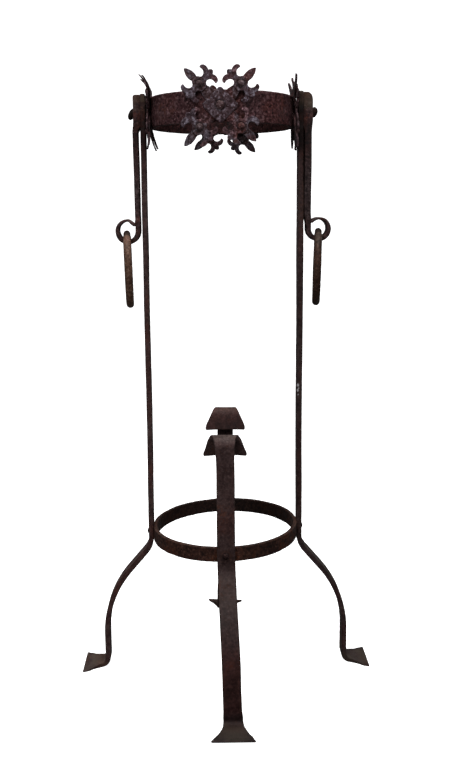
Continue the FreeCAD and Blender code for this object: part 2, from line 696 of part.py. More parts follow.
def hanger(name, turn):
    """Upright strap with a pad at the bolt and a scroll eye at its foot."""
    body = new_body(name, turn)
    sketch = new_sketch(body, name + "_profile", "XZ_Plane")
    d = Drawing(sketch)
    eye_outer = [scroll_point(angle, radius) for angle, radius, thick in SCROLL]
    eye_inner = [scroll_point(angle, radius - thick) for angle, radius, thick in SCROLL]
    in_x, out_x, corner_r = size["hang_in_top"], size["hang_out_top"], size["hang_corner_r"]
    top_z, pad_z = size["hang_top"], size["hang_pad_z"]
    step_z = pad_z - size["hang_step_h"]
    d.block(d.spline(eye_inner), d.spline(eye_outer))
    d.blocked_lines([eye_outer[-1], eye_inner[-1]])
    # face away from the stand, upwards
    d.blocked_lines([
        eye_inner[0],
        (size["hang_out_low"], size["eye_z"] + size["hang_low_rise"]),
        (out_x + size["hang_out_step"], step_z),
        (out_x, pad_z + size["hang_pad_rise"]),
        (out_x, top_z - corner_r),
    ])
    d.block(d.arc((out_x - corner_r, top_z - corner_r), corner_r, 0, 90))
    # top, then the face towards the stand, downwards
    d.blocked_lines([
        (out_x - corner_r, top_z),
        (in_x, top_z),
        (in_x, pad_z),
        (in_x + size["hang_in_step"], step_z),
        eye_outer[0],
    ])
    pad(body, sketch, name + "_bar", "bar_w", midplane=True)
    drill(body, name + "_bolt_hole", "ornament_z", "bolt_r")
    doc.recompute()


hanger("hanger_right", 0)
hanger("hanger_left", 180)


# ---------------------------------------------------------------- carrying rings
def carrying_ring(side, outward):
    """Round-bar ring in local YZ, the middle of its bar hung on the pivot."""
    name = "carry_ring_" + side
    body = new_body(name)
    sketch = new_sketch(body, name + "_section", "XZ_Plane")
    d = Drawing(sketch)
    bar = sketch.addGeometry(Part.Circle(V(0, 0, 0), V(0, 0, 1), size["hoop_tube"]), False)
    d.constrain("Coincident", bar, 3, -1, 1)
    d.dimension("hoop_tube", "Radius", bar)
    # construction line through the ring's centre, used as the turning axis
    half_axis = 5
    axis = d.line((-half_axis, -size["hoop_r"]), (half_axis, -size["hoop_r"]), True)
    d.constrain("Horizontal", axis)
    d.dimension("hoop_r", "DistanceY", axis, 1, -1, 1)
    d.dimension(str(half_axis), "DistanceX", axis, 1, -1, 1)
    d.dimension(str(half_axis), "DistanceX", -1, 1, axis, 2)
    revolve(body, sketch, name + "_turned", "Axis0")
    # the lean brings the bottom towards the legs, the turn swings the ring about Z
    lean = FreeCAD.Rotation(V(0, 1, 0), size["hoop_lean_" + side] * outward)
    turn = FreeCAD.Rotation(V(0, 0, 1), -size["hoop_turn_" + side] * outward)
    pivot = V(outward * size["hoop_pivot_x"], 0, size["hoop_pivot_z"])
    body.Placement = FreeCAD.Placement(pivot, turn.multiply(lean))


carrying_ring("right", 1)
carrying_ring("left", -1)
doc.recompute()

# ---------------------------------------------------------------- checks and export
for item in doc.Objects:
    if "Invalid" in item.State or "Error" in item.State:
        raise RuntimeError(f"{item.Name}: {item.State}")
bodies = [item for item in doc.Objects if item.TypeId == "PartDesign::Body"]
for body in bodies:
    shape = body.Shape
    if shape.isNull() or not shape.isValid() or len(shape.Solids) != 1:
        raise RuntimeError(f"{body.Name}: null, invalid or not one solid")
for body in bodies:
    body.Shape.exportStep(f"parts/{body.Name}.step")
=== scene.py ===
import json
import math

import bmesh
import bpy
import numpy as np
from mathutils import Matrix, Vector


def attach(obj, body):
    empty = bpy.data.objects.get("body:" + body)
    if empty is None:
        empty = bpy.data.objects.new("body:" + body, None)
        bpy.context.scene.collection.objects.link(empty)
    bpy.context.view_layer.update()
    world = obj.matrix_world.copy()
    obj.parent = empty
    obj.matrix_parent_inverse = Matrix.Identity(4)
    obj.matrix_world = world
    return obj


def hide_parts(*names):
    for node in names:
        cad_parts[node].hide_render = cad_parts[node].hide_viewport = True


# Forged surfaces for a four-legged wrought-iron stand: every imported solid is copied, remeshed,
# worn and bent a little from its nominal shape, and given rusted, oiled iron.

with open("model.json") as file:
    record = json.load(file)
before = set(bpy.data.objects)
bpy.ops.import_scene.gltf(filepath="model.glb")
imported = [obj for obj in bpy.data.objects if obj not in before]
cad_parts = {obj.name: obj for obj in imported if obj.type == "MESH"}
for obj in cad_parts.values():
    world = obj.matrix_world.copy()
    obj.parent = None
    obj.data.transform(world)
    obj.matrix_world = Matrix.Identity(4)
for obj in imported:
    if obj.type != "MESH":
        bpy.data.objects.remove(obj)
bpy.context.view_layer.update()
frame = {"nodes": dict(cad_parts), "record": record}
scene = bpy.context.scene
MM = 0.001

body_of = {}
for body_name, members in frame["record"]["behaviour"]["bodies"].items():
    for m in members:
        body_of[m] = body_name


def unit(v):
    return v / np.maximum(np.linalg.norm(v, axis=-1, keepdims=True), 1e-12)


def unit3(v):
    return v / max(float(np.sqrt((v * v).sum())), 1e-9)


def smooth(a, b, x):
    t = np.clip((x - a) / (b - a), 0.0, 1.0)
    return t * t * (3.0 - 2.0 * t)


# ------------------------------------------------------------------------------------ noise
def lattice(ix, iy, iz, seed):
    h = (
        ix.astype(np.uint32) * np.uint32(374761393)
        + iy.astype(np.uint32) * np.uint32(668265263)
        + iz.astype(np.uint32) * np.uint32(2246822519)
        + np.uint32((seed * 3266489917 + 12345) & 0xFFFFFFFF)
    )
    h = (h ^ (h >> np.uint32(13))) * np.uint32(1274126177)
    h = (h ^ (h >> np.uint32(16))) * np.uint32(2654435761)
    h = h ^ (h >> np.uint32(15))
    return h.astype(np.float32) / np.float32(4294967295.0)


def value_noise(P, size, seed):
    """Smooth noise in 0..1 with features about `size` metres across."""
    q = P / size + 1000.0
    i = np.floor(q).astype(np.int64)
    f = (q - i).astype(np.float32)
    f = f * f * (3.0 - 2.0 * f)
    out = np.zeros(len(P), np.float32)
    for dx in (0, 1):
        wx = f[:, 0] if dx else 1.0 - f[:, 0]
        for dy in (0, 1):
            wy = f[:, 1] if dy else 1.0 - f[:, 1]
            for dz in (0, 1):
                wz = f[:, 2] if dz else 1.0 - f[:, 2]
                out += wx * wy * wz * lattice(i[:, 0] + dx, i[:, 1] + dy, i[:, 2] + dz, seed)
    return out


def fbm(P, size, seed, octaves=3, gain=0.5):
    total, amp, norm = np.zeros(len(P), np.float32), 1.0, 0.0
    for k in range(octaves):
        total += amp * value_noise(P, size / (2.03 ** k), seed + 17 * k)
        norm += amp
        amp *= gain
    return total / norm


def cells(P, size, seed):
    """Distance to the nearest of one jittered point per cell, in cells, from the eight nearest cells."""
    q = P / size + 1000.0
    base = np.floor(q - 0.5).astype(np.int64)
    best = np.full(len(P), 9.0, np.float32)
    for dx in (0, 1):
        for dy in (0, 1):
            for dz in (0, 1):
                c = base + np.array([dx, dy, dz])
                jit = np.stack([lattice(c[:, 0], c[:, 1], c[:, 2], seed + s) for s in (1, 2, 3)], axis=1)
                d = q - (c + 0.25 + 0.5 * jit)
                best = np.minimum(best, np.sqrt((d * d).sum(axis=1)).astype(np.float32))
    return best


# ------------------------------------------------------------------------------------ mesh arrays
def revoxel(node, size):
    """The node's closed surface as an even mesh of `size` quads."""
    me = node.data.copy()
    bm = bmesh.new()
    bm.from_mesh(me)
    bmesh.ops.remove_doubles(bm, verts=bm.verts, dist=2e-6)
    bm.to_mesh(me)
    bm.free()
    tmp = bpy.data.objects.new("tmp_" + node.name, me)
    scene.collection.objects.link(tmp)
    mod = tmp.modifiers.new("voxels", "REMESH")
    mod.mode = "VOXEL"
    mod.voxel_size = size
    mod.adaptivity = 0.0
    dg = bpy.context.evaluated_depsgraph_get()
    new = bpy.data.meshes.new_from_object(tmp.evaluated_get(dg))
    bpy.data.objects.remove(tmp)
    bpy.data.meshes.remove(me)
    return new


class Surface:
    def __init__(self, me):
        self.me = me
        n = len(me.vertices)
        P = np.empty(n * 3, np.float32)
        me.vertices.foreach_get("co", P)
        self.P = P.reshape(-1, 3).astype(np.float64)
        E = np.empty(len(me.edges) * 2, np.int32)
        me.edges.foreach_get("vertices", E)
        self.E = E.reshape(-1, 2)
        self.n = n
        self.deg = np.maximum(np.bincount(self.E.ravel(), minlength=n), 1).astype(np.float64)
        L = np.empty(len(me.loops), np.int32)
        me.loops.foreach_get("vertex_index", L)
        start = np.empty(len(me.polygons), np.int32)
        count = np.empty(len(me.polygons), np.int32)
        me.polygons.foreach_get("loop_start", start)
        me.polygons.foreach_get("loop_total", count)
        quad = count == 4
        tri = count == 3
        self.Q = np.stack([L[start[quad] + k] for k in range(4)], axis=1) if quad.any() else np.zeros((0, 4), int)
        self.T = np.stack([L[start[tri] + k] for k in range(3)], axis=1) if tri.any() else np.zeros((0, 3), int)

    def mean(self, A):
        a, b = self.E[:, 0], self.E[:, 1]
        if A.ndim == 1:
            return (np.bincount(a, A[b], self.n) + np.bincount(b, A[a], self.n)) / self.deg
        return np.stack([self.mean(A[:, k]) for k in range(A.shape[1])], axis=1)

    def relax(self, rounds, lam):
        for _ in range(rounds):
            self.P += lam * (self.mean(self.P) - self.P)

    def taubin(self, rounds):
        for _ in range(rounds):
            self.P += 0.5 * (self.mean(self.P) - self.P)
            self.P -= 0.53 * (self.mean(self.P) - self.P)

    def normals(self):
        P = self.P
        N = np.zeros_like(P)
        parts = []
        if len(self.Q):
            q = self.Q
            parts.append((np.cross(P[q[:, 2]] - P[q[:, 0]], P[q[:, 3]] - P[q[:, 1]]), q))
        if len(self.T):
            t = self.T
            parts.append((np.cross(P[t[:, 1]] - P[t[:, 0]], P[t[:, 2]] - P[t[:, 0]]), t))
        for fn, idx in parts:
            for k in range(idx.shape[1]):
                for c in range(3):
                    N[:, c] += np.bincount(idx[:, k], fn[:, c], self.n)
        return unit(N)

    def store(self):
        self.me.vertices.foreach_set("co", self.P.astype(np.float32).ravel())
        self.me.update()

    def attribute(self, name, values):
        a = self.me.attributes.new(name, "FLOAT", "POINT")
        a.data.foreach_set("value", np.clip(values, 0.0, 1.0).astype(np.float32))


# ------------------------------------------------------------------------------------ as-forged irregularity
def turn_z(P, deg, pivot=(0.0, 0.0)):
    c, s = math.cos(math.radians(deg)), math.sin(math.radians(deg))
    x, y = P[:, 0] - pivot[0], P[:, 1] - pivot[1]
    P[:, 0], P[:, 1] = pivot[0] + c * x - s * y, pivot[1] + s * x + c * y


def thin_foot(P, N, axis, sign):
    """Feet are drawn down to a thin edge; the sole stays on the floor."""
    out = P[:, axis] * sign
    low = 1.0 - smooth(0.018, 0.030, P[:, 2])
    s = smooth(0.226, 0.258, out)
    P[:, 2] *= 1.0 - 0.72 * s * low
    tip = smooth(0.244, 0.262, out) * low
    P[:, 1 - axis] *= 1.0 + 0.085 * tip + (0.24 if axis else 0.29) * smooth(0.212, 0.240, out) * smooth(0.2605, 0.249, out) * low
    P[:, axis] += sign * 1.6 * MM * tip


def bend(name, P, N):
    """Moves vertices from the nominal shape to the hand-made one, in millimetres written as metres."""
    x, y, z = P[:, 0].copy(), P[:, 1].copy(), P[:, 2].copy()
    if name in ("leg_front", "leg_back"):
        turn_z(P, -1.2)
        P[:, 0] += 1.1 * MM
        if name == "leg_front":
            P[:, 0] += (0.2 + 7.6 * (1.0 - smooth(0.07, 0.27, z)) + 1.6 * (1.0 - smooth(0.0, 0.08, z))) * MM
            P[:, 0] -= 1.3 * MM * smooth(0.400, 0.470, z)
        else:
            P[:, 0] -= 2.2 * MM * (1.0 - smooth(0.0, 0.10, z))
            # its foot was set a little askew
            foot = smooth(0.10, 0.02, z)
            P[:, 0] -= 2.8 * MM * foot + 0.085 * (x + 0.002) * smooth(0.05, 0.02, z)
            P[:, 1] -= (6.5 * MM + 0.13 * (x + 0.002)) * foot
            P[:, 0] += 0.9 * MM * smooth(0.39, 0.45, z)
        # the curled tops are spread wider at their tips
        rise = 0.0 if name == "leg_front" else 0.008
        curl = smooth(0.436 + rise, 0.420 + rise, z) * smooth(0.40, 0.412, z) * smooth(0.017, 0.034, np.abs(x))
        P[:, 0] += np.sign(x) * (3.1 if name == "leg_front" else 2.6) * MM * curl
        P[:, 2] -= 1.6 * MM * curl * (1.0 if name == "leg_front" else 0.5)
        thin_foot(P, N, 1, -1 if name == "leg_front" else 1)
    if name in ("leg_left", "leg_right"):
        side = -1 if name == "leg_left" else 1
        if side > 0:
            P[:, 2] += 4.2 * MM * smooth(0.99, 1.028, z)
        wave = 0.7 * np.sin(2 * math.pi * (z - 0.30) / 0.61) * smooth(0.29, 0.40, z) * (1 - smooth(0.86, 0.95, z))
        P[:, 0] += wave * MM * (1.0 if side < 0 else -0.8)
        if side < 0:
            P[:, 0] += 0.9 * MM * np.exp(-(((z - 0.755) / 0.07) ** 2))
        else:
            P[:, 0] -= 1.0 * MM * smooth(0.1345, 0.1315, x) * np.exp(-(((z - 0.76) / 0.09) ** 2))
        P[:, 1] += 0.9 * MM * np.sin(2 * math.pi * (z - 0.30) / 0.9 + (1.0 if side > 0 else 0.0)) * smooth(0.29, 0.40, z) * (1 - smooth(0.86, 0.95, z))
        thin_foot(P, N, 0, side)
    if name == "lower_ring":
        P[:, 2] += x * math.tan(math.radians(1.2))
    if name.startswith("ring_rivet_"):
        P[:, 2] += x * math.tan(math.radians(1.2))
        if name in ("ring_rivet_front", "ring_rivet_back"):
            turn_z(P, -1.2)
            P[:, 0] += 1.1 * MM
    if "_boss" in name:
        # broad hammered head
        head = 1.0 + 0.17 * (np.abs(y) > 0.1264)
        P[:, 0] *= head
        P[:, 2] = 0.997 + (P[:, 2] - 0.997) * head
    if name.startswith("ornament_front"):
        # the lower left arm is drawn out longer than the others
        reach = np.clip((-x - 0.006) / 0.040, 0.0, 1.0) * np.clip((0.985 - z) / 0.045, 0.0, 1.0)
        P[:, 0] -= 1.2 * MM * reach
        P[:, 2] -= 6.5 * MM * reach ** 1.3
        turn_z(P, -2.3)
    if name.startswith("ornament_back"):
        turn_z(P, -4.6)
        # it hangs a little clockwise, so its right side sits low
        a = math.radians(2.6)
        cx = 0.0100
        dx, dz = P[:, 0] - cx, P[:, 2] - 0.997
        P[:, 0], P[:, 2] = cx + dx * math.cos(a) + dz * math.sin(a), 0.997 - dx * math.sin(a) + dz * math.cos(a)
    if name.startswith("ornament_left") or name.startswith("ornament_right"):
        side = -1 if name.startswith("ornament_left") else 1
        up = np.clip((z - 1.016) / 0.040, 0.0, 1.3)
        down = np.clip((0.975 - z) / 0.036, 0.0, 1.3) ** 1.35
        front = y < 0
        if side < 0:
            # knocked about: the top spears lean out over the strap, one lower spear is bent in under the band
            out_up = np.where(front, 10.8 * up ** 2.8, 12.5 * up ** 2.6) - 1.4 * np.sin(math.pi * np.minimum(up, 1.0))
            out_down = np.where(front, 0.5 * down, -9.5 * down)
        else:
            out_up = np.where(front, 1.4 * up ** 2 - 1.6 * up * smooth(0.040, 0.030, np.abs(y)), -1.6 * up)
            out_down = np.where(front, 3.0 * down, 4.5 * down)
        # prongs of one fleur splay apart
        splay = (value_noise(P, 0.017, 77 if side < 0 else 78) - 0.5) * (4.6 * np.minimum(up, 1.0) + 3.6 * np.minimum(down, 1.0))
        P[:, 0] += side * (out_up + out_down + splay) * MM
        P[:, 2] -= 1.6 * MM * np.minimum(up, 1.0) ** 2 * (0.6 if side < 0 else 0.0)
    if name.startswith("hanger_"):
        side = -1 if name.endswith("left") else 1
        bow = np.exp(-(((z - 0.905) / 0.045) ** 2))
        P[:, 0] += side * (0.5 if side > 0 else -0.4) * MM * bow
        swell = smooth(0.962, 0.985, z) * smooth(0.1405, 0.1490, np.abs(x))
        P[:, 0] += side * (2.3 if side > 0 else -1.6) * MM * swell
        # the scroll ends blunt
        ang = np.degrees(np.arctan2(z - 0.7985, np.abs(x) - 0.1646))
        tip = smooth(88.0, 118.0, ang) * (np.abs(x) > 0.1517) * (ang < 160.0) * (np.hypot(np.abs(x) - 0.1646, z - 0.7985) < 0.0235)
        P += N * (0.7 * MM * tip)[:, None]
        if side < 0:
            P[:, 2] -= 2.4 * MM * tip
            P[:, 0] -= 0.9 * MM * tip
        eye = smooth(0.828, 0.815, z)
        if side > 0:
            P[:, 2] += 1.6 * MM * eye
            P[:, 0] += 0.8 * MM * eye
        else:
            P[:, 0] += (0.7 * smooth(0.95, 0.82, z) + 0.3 * eye) * MM
            P[:, 2] -= 1.3 * MM * smooth(0.7985, 0.782, z)
        if side > 0:
            # the top outer corner is worn round
            P[:, 2] += 3.2 * MM * smooth(0.99, 1.027, z)
            corner = smooth(1.014, 1.027, z) * smooth(0.1440, 0.1515, x)
            P[:, 2] -= 3.0 * MM * corner
            P[:, 0] -= 1.4 * MM * corner
            # heavier below the pad: its inner face nearly lies on the leg
            body = smooth(0.806, 0.822, z) * (1.0 - smooth(0.966, 0.981, z))
            P[:, 0] += np.where(x < 0.1478, -2.6, 0.3) * MM * body
        else:
            P[:, 2] -= 0.8 * MM * smooth(0.99, 1.027, z)
    if name.startswith("pivot_bolt_"):
        side = -1 if name.endswith("left") else 1
        ax = np.abs(x)
        P[:, 0] += side * (2.9 if side > 0 else -1.0) * MM * smooth(0.1490, 0.1519, ax)
        # the head has been struck out of true
        P[:, 2] += side * 0.10 * (ax - 0.1519) * smooth(0.1519, 0.153, ax) * 6.0 * (1.0 if side < 0 else 0.4)
    if name.startswith("carry_ring_"):
        side = -1 if name.endswith("left") else 1
        cz = 0.79435 - 0.0612
        a = np.arctan2(z - cz, y)
        # welded, slightly out of round, thinner where it has worn in the eye
        r = 1.0 + 0.010 * np.cos(2 * a + (0.5 if side > 0 else 1.9)) * (1 - smooth(0.76, 0.80, z))
        worn = smooth(0.776, 0.786, z) * (np.abs(y) < 0.03)
        P -= N * (0.75 * MM * worn)[:, None]
        P[:, 1] += y * (r - 1.0)
        P[:, 2] += (z - cz) * (r - 1.0) * -0.6 + (0.9 if side > 0 else -1.0) * MM


SIZES = {
    "leg_": 1.10, "upper_band": 1.10, "lower_ring": 1.10, "hanger_": 0.85, "carry_ring_": 0.75,
    "collar_": 0.60, "pivot_bolt_": 0.45, "ring_rivet_": 0.45,
}


def voxel_for(name):
    size = None
    for k, v in SIZES.items():
        if name.startswith(k):
            size = v
    if size is None:
        if "_fleur_" in name:
            size = 0.55
        elif "_stud_" in name or "_boss" in name:
            size = 0.40
        else:
            size = 0.65
    return size * 1.0 * MM


# undulation, facets, pits in millimetres, then how many relaxations round the corners
FORGE = {
    "leg_": (0.34, 0.24, 0.13, 1), "upper_band": (0.60, 0.36, 0.20, 1), "lower_ring": (0.70, 0.38, 0.24, 1),
    "hanger_": (0.40, 0.28, 0.16, 1), "carry_ring_": (0.40, 0.36, 0.20, 1), "collar_": (0.10, 0.10, 0.08, 1),
    "pivot_bolt_": (0.05, 0.26, 0.10, 2), "ring_rivet_": (0.10, 0.20, 0.10, 2), "orn": (0.34, 0.36, 0.22, 1),
}

names = sorted(frame["nodes"].keys())
surfaces = {}
for name in names:
    me = revoxel(frame["nodes"][name], voxel_for(name))
    me.name = "iron_" + name
    s = Surface(me)
    key = [k for k in FORGE if name.startswith(k)][0]
    s.forge = FORGE[key]
    s.taubin(2)
    s.relax(s.forge[3] + (2 if name.endswith("_diamond") else 0), 0.5)
    surfaces[name] = s

# which pieces share a neighbourhood: rust gathers in joints, which are also painted dark as shade, and edges are
# rubbed lighter where oil is wiped off, a wear that also stands for painted highlight
CELL = 0.0035
pair_cell, pair_piece = [], []
for k, name in enumerate(names):
    c = np.floor(surfaces[name].P / CELL).astype(np.int64) + 4096
    key = (c[:, 0] * 8192 + c[:, 1]) * 8192 + c[:, 2]
    u = np.unique(key)
    pair_cell.append(u)
    pair_piece.append(np.full(len(u), k))
cell_all = np.concatenate(pair_cell)
bit_all = np.left_shift(np.uint64(1), np.concatenate(pair_piece).astype(np.uint64))
order = np.argsort(cell_all, kind="stable")
cell_all, bit_all = cell_all[order], bit_all[order]
cell_u, first = np.unique(cell_all, return_index=True)
bits_u = np.bitwise_or.reduceat(bit_all, first)


def joint_mask(k, s):
    c = np.floor(s.P / CELL).astype(np.int64) + 4096
    key = (c[:, 0] * 8192 + c[:, 1]) * 8192 + c[:, 2]
    u, inv = np.unique(key, return_inverse=True)
    own = ~(np.uint64(1) << np.uint64(k))
    hits = np.zeros(len(u))
    for dx in (-1, 0, 1):
        for dy in (-1, 0, 1):
            for dz in (-1, 0, 1):
                q = u + (dx * 8192 + dy) * 8192 + dz
                j = np.clip(np.searchsorted(cell_u, q), 0, len(cell_u) - 1)
                ok = cell_u[j] == q
                hits += ok & ((bits_u[j] & own) != 0)
    m = np.clip(hits / 9.0, 0.0, 1.0)[inv]
    for _ in range(4):
        m = 0.4 * m + 0.6 * s.mean(m)
    return m


def tone_of(name, P):
    """How light the iron is along a piece, painted shade included: 0.5 is its slot's own tone."""
    t = np.full(len(P), 0.5)
    z = P[:, 2]
    if name == "carry_ring_right":
        t -= 0.24
    if name == "carry_ring_left":
        t += 0.10
    if name.startswith("pivot_bolt_"):
        t -= 0.34
    if name.startswith("collar_"):
        t -= 0.30
    if name.startswith(("ornament_left", "ornament_right")):
        # painted shade: the side ornaments sit in the shade between band and upright
        t -= 0.24
    if name.startswith(("hanger_", "leg_left", "leg_right")):
        t -= 0.12 * smooth(0.89, 0.95, z) * smooth(0.992, 0.975, z)
    if name == "leg_left":
        t -= 0.18 * smooth(0.925, 0.950, z) * smooth(1.000, 0.980, z)
        t += 0.10 * np.exp(-(((z - 0.77) / 0.08) ** 2))
    if name == "leg_right":
        t -= 0.34 * smooth(0.925, 0.950, z) * smooth(1.022, 1.000, z)
        t += 0.07 * np.exp(-(((z - 0.77) / 0.08) ** 2))
    if name == "hanger_left":
        t += 0.12 * np.exp(-(((z - 0.996) / 0.010) ** 2))
        t += 0.24 * smooth(0.811, 0.817, z) * smooth(0.826, 0.820, z)
    if name == "hanger_right":
        t -= 0.12 * smooth(0.925, 0.950, z) * smooth(0.992, 0.978, z)
        t += 0.06 * np.exp(-(((z - 0.997) / 0.012) ** 2))
    if name == "upper_band":
        # painted shade: the band's ends, between the uprights, are darkened
        t -= np.where(P[:, 0] > 0, 0.30, 0.16) * smooth(0.119, 0.127, np.abs(P[:, 0]))
    if name.startswith("carry_ring_"):
        # painted shade: darker inside the eye, where the hanger shades it
        t -= (0.44 if name.endswith("left") else 0.24) * smooth(0.766, 0.782, z) * (np.abs(P[:, 1]) < 0.03)
    if name.startswith("ornament_back"):
        # painted shade: the back ornament is darkened as if shaded by the band
        t -= 0.26
    if name.startswith("ornament_front"):
        t -= 0.07 * smooth(0.985, 0.955, z)
    if name == "hanger_right":
        t -= 0.08
    if name == "leg_right":
        t -= 0.08 + 0.06 * smooth(0.10, 0.02, z)
    if name == "leg_back":
        t += 0.10 * smooth(0.446, 0.456, z) - 0.16 * smooth(0.442, 0.426, z) * (P[:, 0] > -0.02)
    if name.startswith("ring_rivet_"):
        t -= 0.12
    if name == "lower_ring":
        t -= 0.22 * smooth(-0.02, 0.06, P[:, 1]) + 0.17 * smooth(0.01, 0.05, P[:, 0]) * smooth(0.02, -0.04, P[:, 1])
    if name == "leg_front":
        t += 0.10 * np.exp(-(((z - 0.33) / 0.09) ** 2)) - 0.13 * np.exp(-(((z - 0.165) / 0.07) ** 2)) - 0.10 * np.exp(-(((z - 0.060) / 0.04) ** 2)) + 0.10 * smooth(0.43, 0.46, z)
        t -= 0.20 * smooth(0.030, 0.015, z)
    if name in ("leg_left", "leg_right"):
        t += (0.06 if name == "leg_left" else 0.0) + 0.06 * (1.0 - smooth(0.02, 0.16, z)) - 0.10 * smooth(0.03, 0.015, z)
    if name.startswith("ornament_front") and "_fleur_" in name:
        t -= 0.02
    if name.startswith("ornament_front") and name.endswith(("_diamond", "_saltire")):
        t -= 0.06
    if name.startswith("ornament_"):
        h = P[:, 0] if name.startswith(("ornament_front", "ornament_back")) else P[:, 1]
        dh, dz = np.abs(np.abs(h) - 0.0325), np.abs(np.abs(z - 0.997) - 0.0325)
        if "_stud_" in name or "_boss" in name:
            t += 0.12
        else:
            # painted shadow: dark rings round the rivets and the boss
            t -= 0.26 * np.exp(-(((np.hypot(dh, dz) - 0.0064) / 0.0015) ** 2))
            t -= 0.30 * np.exp(-(((np.hypot(h, z - 0.997) - 0.0080) / 0.0014) ** 2))
    t += 0.14 * (fbm(P, 0.075, 91, 2) - 0.5)
    return t


pieces = {}
for k, name in enumerate(names):
    s = surfaces[name]
    und, facet, pit, _ = s.forge
    N = s.normals()
    P0 = s.P.copy()
    # wide curvature before the fine marks: positive on worn corners, negative in crooks
    A = P0.copy()
    for _ in range(10):
        A = s.mean(A)
    bulge = -((A - P0) * N).sum(axis=1) / MM
    joint = joint_mask(k, s)
    if name.startswith("ornament_"):
        # outward faces of stacked plates are not a joint, only their seams are
        out = unit3(P0.mean(axis=0) * np.array([1.0, 1.0, 0.0]))
        facing = smooth(0.35, 0.85, N @ out)
        keep = 0.85 if name.endswith("_diamond") else 0.35 if name.endswith("_saltire") else 0.90 if ("_stud_" in name or "_boss" in name) else 0.62
        joint = joint * (1.0 - keep * facing)
    seed = 31 * (k + 1)
    d = und * (fbm(P0, 0.034, seed, 2) - 0.18).clip(0.0, 0.64) / 0.64
    size = 0.011 if name.startswith(("leg_", "upper_band", "lower_ring", "hanger_")) else 0.0065
    f1 = cells(P0 + 0.003 * np.stack([fbm(P0, 0.02, seed + j, 1) for j in (5, 6, 7)], axis=1), size, seed)
    d += facet * (1.0 - smooth(0.10, 0.62, f1)) * (0.35 + 0.65 * smooth(0.35, 0.6, value_noise(P0, 0.05, seed + 9)))
    pits = smooth(0.54, 0.74, fbm(P0, 0.0042, seed + 21, 2, 0.6))
    patch = smooth(0.42, 0.62, fbm(P0, 0.028, seed + 23, 2))
    calm = 1.0 - 0.8 * smooth(0.03, 0.25, bulge) * name.startswith(("leg_", "hanger_", "lower_ring", "carry_ring_"))
    d += pit * pits * (0.35 + 0.9 * patch) * calm
    d += pit * 0.5 * fbm(P0, 0.0026, seed + 29, 1) * calm
    if name.startswith(("pivot_bolt_", "collar_", "hanger_")):
        # the turning faces stay true
        rr = np.hypot(P0[:, 1], P0[:, 2] - 0.997)
        d *= 0.15 + 0.85 * smooth(0.0055, 0.0085, rr) if not name.startswith("pivot") else 0.12 + 0.88 * smooth(0.0495, 0.0510, np.abs(P0[:, 0]) - 0.100)
    if name.startswith("carry_ring_"):
        d *= 0.25 + 0.75 * (1 - smooth(0.765, 0.785, P0[:, 2]))
    if name.startswith("leg_"):
        # the sole stays flat on the floor
        d *= 1.0 - 0.9 * (smooth(-0.6, -0.9, N[:, 2]) * (P0[:, 2] < 0.002))
    # wear takes metal off and scale and rust put some back: nothing shrinks on the whole
    d -= 0.9 * d.mean() + (0.34 if name.startswith(("leg_", "upper_band", "lower_ring", "hanger_", "carry_ring_")) else 0.12)
    s.P = P0 - N * (d * MM)[:, None]
    bend(name, s.P, N)
    N2 = s.normals()
    s.store()
    s.attribute("edge", smooth(0.10, 0.95, bulge))
    s.attribute("crook", smooth(0.05, 0.60, -bulge))
    s.attribute("joint", joint)
    s.attribute("up", smooth(0.35, 0.95, N2[:, 2]))
    s.attribute("pitted", np.clip(pits * (0.4 + 0.6 * patch), 0, 1))
    s.attribute("patch", patch)
    tone = tone_of(name, P0)
    warm = 0.5 * smooth(0.45, 0.65, fbm(P0, 0.045, seed + 41, 2))
    if name in ("upper_band", "lower_ring"):
        # painted shade: inner faces are darkened, and on the band also the faces that look down; the band's inner
        # faces and the whole lower ring are also redder
        radial = (N[:, 0] * P0[:, 0] + N[:, 1] * P0[:, 1]) / np.maximum(np.hypot(P0[:, 0], P0[:, 1]), 1e-6)
        inner = smooth(0.30, -0.55, radial)
        if name == "upper_band":
            tone -= 0.32 * inner + 0.16 * smooth(-0.4, -0.9, N[:, 2])
            warm = np.maximum(warm, inner)
        else:
            warm = np.maximum(warm, 0.6)
            tone -= 0.12 * inner * smooth(0.0, 0.05, P0[:, 1])
    if name == "leg_front":
        warm = np.maximum(warm, smooth(0.16, 0.10, P0[:, 2]) * smooth(0.010, 0.035, P0[:, 2]))
    if name == "leg_back":
        warm = np.maximum(warm, 0.6)
    if name.startswith("ornament_"):
        # slate scale in some places, red-brown rust in others
        warm = 0.95 * smooth(0.49, 0.60, fbm(P0, 0.026, 977, 2))
        if "_diamond" in name or "_boss" in name:
            warm *= 0.22
    if name.startswith(("ornament_left", "ornament_right")):
        warm = np.maximum(warm, 0.8)
    if name.startswith(("hanger_", "leg_left", "leg_right")):
        warm = np.maximum(warm, smooth(0.89, 0.95, P0[:, 2]) * smooth(1.008, 0.990, P0[:, 2]))
    s.attribute("tone", tone)
    s.attribute("warm", warm)
    olive = np.zeros(s.n)
    fleck = np.zeros(s.n)
    if name.startswith(("hanger_", "leg_")):
        olive = smooth(0.996, 1.012, P0[:, 2]) * smooth(0.35, 0.6, value_noise(P0, 0.012, 55))
    if name.startswith("leg_"):
        olive = np.maximum(olive, 0.8 * smooth(0.03, 0.005, P0[:, 2]) * smooth(0.35, 0.65, value_noise(P0, 0.016, 56)))
    if name == "leg_right":
